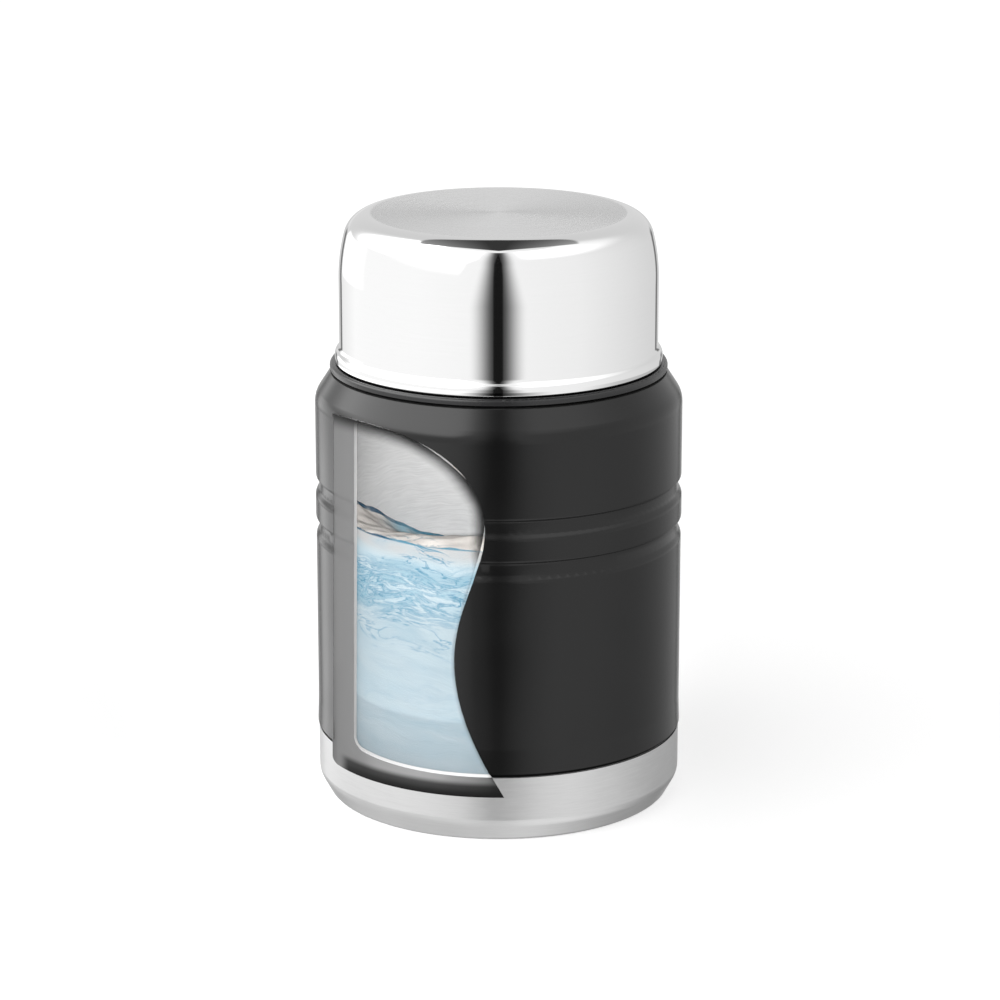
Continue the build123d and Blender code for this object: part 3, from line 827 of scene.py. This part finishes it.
def groove_dip(height):
    """How far the outer wall lies inward at this height, for its two rolled grooves."""
    dip = 0.0
    for low_h in groove_low_heights:
        from_low = (height - low_h) / groove_low_rise
        from_top = (low_h + groove_w - height) / groove_top_rise
        share = min(max(min(from_low, from_top), 0.0), 1.0)
        dip += groove_depth * share * share * (3 - 2 * share)
    return dip


pane_rows, pane_columns = 220, 28


def make_pane(name, material, replaced, radius, low, top, corner_r, beyond, grooved=False):
    """One curved sheet in the window, at this radius: straight at the left and the foot, and cut
    along the window's edge at the top and the right, where it reaches beyond the edge."""
    rows, columns = pane_rows, pane_columns
    edge = smooth_edge(window_edge, 16)
    highest = max(range(len(edge)), key=lambda index: edge[index][1])
    rising = height_spots(edge[: highest + 1])
    falling = height_spots(edge[highest:])
    low_x, low_h = low
    top_x, top_h = top
    points = []
    for row in range(rows + 1):
        share = 0.5 - 0.5 * cos(pi * row / rows)
        height = low_h + (top_h - low_h) * share
        left = low_x + (top_x - low_x) * share
        from_foot = corner_r - (height - low_h)
        if from_foot > 0:
            left += corner_r - sqrt(max(corner_r ** 2 - from_foot ** 2, 0.0))
        if height > rising[0][0]:
            left = max(left, across_at(rising, height))
        right = max(across_at(falling, height) + beyond, left + 0.01)
        reach = radius - groove_dip(height) if grooved else radius
        for column in range(columns + 1):
            across = left + (right - left) * column / columns
            points.append((across, -sqrt(reach ** 2 - across ** 2), height))
    faces = []
    for row in range(rows):
        for column in range(columns):
            corner = row * (columns + 1) + column
            faces.append((corner, corner + 1, corner + columns + 2, corner + columns + 1))
    pane = add_mesh(name, points, faces)
    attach(pane, "jar")
    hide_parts(replaced)
    dress(material, name)


make_pane(
    "liner_pane",
    liner_pane(),
    "liner_window",
    liner_pane_r,
    (liner_pane_low_x, liner_pane_low_h),
    (liner_pane_top_x, liner_pane_top_h),
    liner_pane_corner_r,
    liner_pane_behind,
)
make_pane(
    "wall_pane",
    wall_pane(),
    "shell_window",
    wall_pane_r,
    (wall_pane_low_x, window_low_h - wall_pane_beyond),
    (wall_pane_top_x, window_top_h),
    wall_pane_corner_r,
    wall_pane_beyond,
    grooved=True,
)


# ---- Cup shell, finer than the CAD's mesh so that its reflections are smooth ----

def arc(centre_r, centre_h, radius, start, end, steps):
    """Points on an arc, from one angle to the other; 0 points outward and pi / 2 up."""
    points = []
    for step in range(steps + 1):
        angle = start + (end - start) * step / steps
        points.append((centre_r + radius * cos(angle), centre_h + radius * sin(angle)))
    return points


def cup_skin(inset):
    """The cup's top and side from the axis down to the flare, inset from its outer face."""
    dome_centre_r = cup_r - cup_dome_r
    round_h = cup_top_h - cup_top_round
    between = cup_dome_r - cup_top_round
    meet = asin((round_h - cup_dome_low_h) / between)
    round_r = dome_centre_r + between * cos(meet)
    disc = [(round_r * share, cup_top_h - inset) for share in (0.0, 0.2, 0.5, 0.8)]
    top = arc(round_r, round_h, cup_top_round - inset, pi / 2, meet, 24)
    dome = arc(dome_centre_r, cup_dome_low_h, cup_dome_r - inset, meet, 0.0, 40)
    return disc + top + dome[1:]


def cup_profile():
    """The cup's outline: down its outer face, flared and rounded at the rim, and up inside."""
    flare_mid_w = (rim_r - cup_r) / 2
    flare_mid_h = (rim_flare_top_h - rim_band_top_h) / 2
    flare_r = (flare_mid_w ** 2 + flare_mid_h ** 2) / (2 * flare_mid_w)
    bend = 2 * atan2(flare_mid_w, flare_mid_h)
    upper = arc(cup_r + flare_r, rim_flare_top_h, flare_r, pi, pi + bend, 16)
    lower = arc(rim_r - flare_r, rim_band_top_h, flare_r, bend, 0.0, 16)
    edge = arc(rim_r - rim_round, rim_low_h + rim_round, rim_round, 0.0, -pi / 2, 8)
    inside = [(cup_r - cup_sheet, rim_low_h)] + cup_skin(cup_sheet)[::-1]
    return cup_skin(0.0) + upper + lower[1:] + edge + inside


def make_cup():
    """The cup's shell as a fine lathe of the CAD's profile."""
    profile = cup_profile()
    points, faces = lathe([profile[1:-1]] * cup_steps, profile[0][1], profile[-1][1])
    # This profile goes the other way round than the water's
    faces = [face[:1] + face[:0:-1] for face in faces]
    cup = add_mesh("cup_steel_shell", points, faces)
    cup.data.set_sharp_from_angle(angle=pi / 6)
    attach(cup, "cup")
    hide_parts("cup_shell")
    dress(bpy.data.materials["polished_cup_steel"], "cup_steel_shell")


cup_steps = 360
make_cup()


# ---- Floor, world and lamps ----

floor_side = 24.0
floor_glow_radii = (100.0, 700.0)
floor_glow_levels = (0.38, 0.55)

# Brightness of what reflections see all round, where 1 is white
left_card, right_card = 1.22, 1.08
high_left_card, high_right_card = 3.5, 1.65
left_back_card, right_back_card = 0.98, 0.78
shaded_floor = 0.4
shoulder_card = 1.95
wall_top_card = 1.9
groove_card = 1.8
backdrop_level = 0.78
low_backdrop_level = 0.68
side_gap_level = 0.2
plain_level = 0.62  # of the light that is no reflection
base_rise = (-20.2, -20.8)  # the base's reflections begin here, in degrees above the horizon


def make_floor():
    half = floor_side / 2
    mesh = bpy.data.meshes.new("studio_floor")
    corners = [(-half, -half, 0), (half, -half, 0), (half, half, 0), (-half, half, 0)]
    mesh.from_pydata(corners, [], [(0, 1, 2, 3)])
    floor = bpy.data.objects.new("studio_floor", mesh)
    bpy.context.scene.collection.objects.link(floor)
    material = bpy.data.materials.new("studio_floor")
    material.use_nodes = True
    tree = material.node_tree
    tree.nodes.clear()
    output = add_node(tree, "ShaderNodeOutputMaterial")
    diffuse = add_node(tree, "ShaderNodeBsdfDiffuse", {"Color": grey(floor_level)})
    path = add_node(tree, "ShaderNodeLightPath")
    radius = place(tree)[3]
    bright = ramp(tree, radius, *floor_glow_radii, *floor_glow_levels)
    strength = product(tree, path.outputs["Is Camera Ray"], bright)
    glow = add_node(tree, "ShaderNodeEmission", {"Color": grey(1.0), "Strength": strength})
    both = add_node(tree, "ShaderNodeAddShader", {0: diffuse.outputs[0], 1: glow.outputs[0]})
    put(tree, output.inputs["Surface"], both.outputs[0])
    mesh.materials.append(material)
    floor.visible_glossy = False


# In the cards below, turn is the angle round the part from the front, away is the same without its
# sign, and rise is the angle above the horizon, all in degrees

def wide_cards(tree, turn, away, rise):
    """Cards all round, brighter on the left and falling off behind, with lamps high in front."""
    card = ramp(tree, turn, -60.0, 60.0, left_card, right_card, smooth=False)
    to_left = ramp(tree, turn, -14.0, -30.0)
    to_right = ramp(tree, turn, 12.0, 30.0, 1.0, high_right_card)
    high = blend_numbers(tree, to_left, to_right, high_left_card)
    high_from = blend_numbers(tree, to_left, 36.0, 16.0)
    high_band = product(
        tree,
        ramp(tree, math(tree, "SUBTRACT", rise, high_from), -9.0, 9.0),
        ramp(tree, rise, 70.0, 64.0),
        ramp(tree, away, 150.0, 120.0),
    )
    card = product(tree, card, blend_numbers(tree, high_band, 1.0, high))
    right_back = ramp(tree, turn, 60.0, 150.0, smooth=False)
    card = blend_numbers(tree, right_back, card, right_back_card)
    left_back = ramp(tree, turn, -125.0, -152.0, smooth=False)
    card = blend_numbers(tree, left_back, card, left_back_card)
    # Floor close by, which the part shades on the right
    shade = product(tree, ramp(tree, rise, -15.5, -30.0), ramp(tree, turn, 40.0, 130.0))
    return blend_numbers(tree, shade, card, shaded_floor)


def low_cards(tree, card, turn, rise):
    """Narrow cards just below the horizon, which the wall reflects."""
    on_left = product(
        tree, band(tree, rise, -18.6, -16.6, -14.9, -14.1), ramp(tree, turn, -18.0, -50.0)
    )
    on_edge = product(
        tree, band(tree, rise, -20.0, -19.2, -14.9, -14.1), ramp(tree, turn, -124.0, -132.0)
    )
    low = math(tree, "MAXIMUM", on_left, on_edge)
    low = product(tree, low, ramp(tree, turn, -154.0, -142.0))
    card = blend_numbers(tree, low, card, shoulder_card)
    # The wall's upper part sees a little more on the left, and its right side less
    upper_left = product(
        tree, band(tree, rise, -15.4, -14.4, -14.4, -14.25), ramp(tree, turn, -14.0, -28.0)
    )
    card = blend_numbers(tree, upper_left, card, wall_top_card)
    wall_right = product(
        tree,
        band(tree, rise, base_rise[1], base_rise[0], -14.6, -14.25),
        ramp(tree, turn, 55.0, 100.0, 0.0, 0.3),
    )
    return product(tree, card, math(tree, "SUBTRACT", 1.0, wall_right))


def base_cards(tree, card, turn, rise):
    """The base sees the floor close by, darker than the cards."""
    low_right = product(tree, ramp(tree, rise, -25.0, -45.0), ramp(tree, turn, 20.0, 70.0))
    base_level = product(
        tree,
        ramp(tree, turn, -60.0, 20.0, 0.76, 1.12, smooth=False),
        ramp(tree, turn, 28.0, 52.0, 1.0, 0.8),
        ramp(tree, turn, 95.0, 120.0, 1.0, 0.8),
        ramp(tree, rise, -30.0, -80.0, 1.0, 0.84, smooth=False),
        math(tree, "MULTIPLY_ADD", low_right, 0.5, 1.0),
    )
    return blend_numbers(tree, ramp(tree, rise, *base_rise), card, product(tree, card, base_level))


def back_cards(tree, card, turn, away, rise):
    """Backdrop behind the part, with a gap beside it on each side, and the card that the grooves'
    lower flanks see behind on the left."""
    behind = product(tree, ramp(tree, away, 125.0, 155.0), ramp(tree, rise, -2.0, 6.0))
    card = blend_numbers(tree, behind, card, backdrop_level)
    in_grooves = product(
        tree,
        band(tree, rise, -11.0, -9.5, 4.0, 9.0),
        band(tree, turn, -153.0, -148.0, -125.0, -110.0),
    )
    card = blend_numbers(tree, in_grooves, card, groove_card)
    low = ramp(tree, rise, 3.0, -3.0)
    beyond_gap = product(tree, ramp(tree, away, 159.0, 162.0), low)
    card = blend_numbers(tree, beyond_gap, card, low_backdrop_level)
    off_gap = math(tree, "ABSOLUTE", math(tree, "SUBTRACT", away, 157.5))
    side_gap = product(tree, ramp(tree, off_gap, 4.5, 2.0), low)
    return blend_numbers(tree, side_gap, card, side_gap_level)


def front_gap(tree, turn, away, rise):
    """Share of the cards' light that the dark gap in front leaves: the gap is narrower higher up
    and wider where it meets the floor."""
    off_gap = math(tree, "ABSOLUTE", math(tree, "ADD", turn, 0.4))
    narrow = ramp(tree, rise, -10.0, 15.0, 1.0, 0.66, smooth=False)
    soft = ramp(tree, math(tree, "DIVIDE", off_gap, narrow), 2.6, 21.5, 0.05, 1.0)
    wide_left = ramp(tree, turn, -4.0, -30.0, 0.01, 1.0)
    wide_right = ramp(tree, turn, 0.0, 42.0, 0.01, 1.0)
    wide = math(tree, "MAXIMUM", wide_left, wide_right)
    soft = blend_numbers(tree, ramp(tree, rise, -14.6, -16.0), soft, wide)
    base_gap = ramp(tree, away, 1.0, 11.0, 0.66, 1.0)
    soft = blend_numbers(tree, ramp(tree, rise, *base_rise), soft, base_gap)
    core_w = ramp(tree, rise, 8.0, 62.0, 3.4, 0.3, smooth=False)
    core = ramp(tree, math(tree, "SUBTRACT", off_gap, core_w), -0.3, 0.3, 0.2, 1.0)
    return math(tree, "MAXIMUM", product(tree, soft, core), ramp(tree, rise, 62.0, 66.0))


def roof_opening(tree, card, parts, rise):
    """A dark opening in the roof, as a kite round the point overhead."""
    height = math(tree, "MAXIMUM", parts[2], tiny)
    across = math(tree, "DIVIDE", math(tree, "ABSOLUTE", parts[0]), height)
    along = math(tree, "DIVIDE", parts[1], height)
    front_edge = math(tree, "SUBTRACT", along, math(tree, "MULTIPLY_ADD", across, 0.96, -0.325))
    rear_edge = math(tree, "SUBTRACT", math(tree, "MULTIPLY_ADD", across, -1.58, 1.2), along)
    kite = math(tree, "MINIMUM", front_edge, rear_edge)
    kite = product(tree, ramp(tree, kite, -0.03, 0.06), ramp(tree, rise, 5.0, 15.0))
    inside_kite = ramp(tree, across, 0.05, 0.55, 0.045, 0.42, smooth=False)
    return blend_numbers(tree, kite, card, inside_kite)


def make_world():
    """White cards all round, as in a studio tent: a narrow dark gap in front, a dark opening in the
    roof and a thin gap behind on each side. Only reflections see the pattern."""
    world = bpy.data.worlds.new("studio")
    bpy.context.scene.world = world
    world.use_nodes = True
    tree = world.node_tree
    tree.nodes.clear()
    output = add_node(tree, "ShaderNodeOutputWorld")
    direction = add_node(tree, "ShaderNodeTexCoord").outputs["Generated"]
    parts = add_node(tree, "ShaderNodeSeparateXYZ", {0: direction}).outputs
    turn = math(tree, "ARCTAN2", parts[0], product(tree, parts[1], -1.0))
    turn = math(tree, "DEGREES", turn)
    away = math(tree, "ABSOLUTE", turn)
    rise = math(tree, "DEGREES", math(tree, "ARCSINE", parts[2]))

    card = wide_cards(tree, turn, away, rise)
    card = low_cards(tree, card, turn, rise)
    card = base_cards(tree, card, turn, rise)
    card = back_cards(tree, card, turn, away, rise)
    card = product(tree, card, front_gap(tree, turn, away, rise))
    card = roof_opening(tree, card, parts, rise)

    path = add_node(tree, "ShaderNodeLightPath")
    strength = blend_numbers(tree, path.outputs["Is Glossy Ray"], plain_level, card)
    strength = blend_numbers(tree, path.outputs["Is Camera Ray"], strength, 1.0)
    background = add_node(
        tree, "ShaderNodeBackground", {"Color": grey(1.0), "Strength": strength}
    )
    put(tree, output.inputs["Surface"], background.outputs[0])


def hang(name, light, place_at, aim_at):
    """Puts a light in place, turned to its target and unseen by the camera and in reflections."""
    lamp = bpy.data.objects.new(name, light)
    bpy.context.scene.collection.objects.link(lamp)
    lamp.location = place_at
    direction = Vector(aim_at) - Vector(place_at)
    lamp.rotation_euler = direction.to_track_quat("-Z", "Y").to_euler()
    lamp.visible_glossy = False
    lamp.visible_camera = False


def add_lamp(name, place_at, aim_at, width, height, power):
    light = bpy.data.lights.new(name, "AREA")
    light.shape = "RECTANGLE"
    light.size = width
    light.size_y = height
    light.energy = power
    hang(name, light, place_at, aim_at)


def add_spot(name, place_at, aim_at, cone_degrees, power):
    light = bpy.data.lights.new(name, "SPOT")
    light.energy = power
    light.spot_size = radians(cone_degrees)
    light.spot_blend = 0.6
    light.shadow_soft_size = 0.015
    hang(name, light, place_at, aim_at)


camera_place = (
    axis_offset_pixels / focal_pixels * camera_distance,
    -camera_distance * cos(camera_pitch),
    aim_height + camera_distance * sin(camera_pitch),
)
make_floor()
make_world()
mid_body = (0, 0, 0.06)
add_lamp("key_light", (-0.7, -0.7, 1.2), mid_body, width=1.3, height=1.3, power=6.0)
add_lamp("fill_light", (0.9, -0.6, 0.7), mid_body, width=0.8, height=0.8, power=2.5)
add_lamp("front_light", (0.0, -1.25, 0.17), (0, 0, 0.07), width=0.4, height=0.3, power=3.0)
window_middle = (-0.022, -0.04, 0.062)
add_spot("window_light", camera_place, window_middle, cone_degrees=9.0, power=44.0)


# ---- Camera ----

camera_data = bpy.data.cameras.new("camera")
camera_data.sensor_width = sensor_mm
camera_data.lens = focal_pixels * sensor_mm / image_side
camera_data.clip_start = 0.05
camera_data.clip_end = 60.0
camera = bpy.data.objects.new("camera", camera_data)
bpy.context.scene.collection.objects.link(camera)
camera.location = camera_place
camera.rotation_euler = (pi / 2 - camera_pitch, 0, 0)
bpy.context.scene.camera = camera
bpy.context.scene.view_settings.view_transform = "Standard"
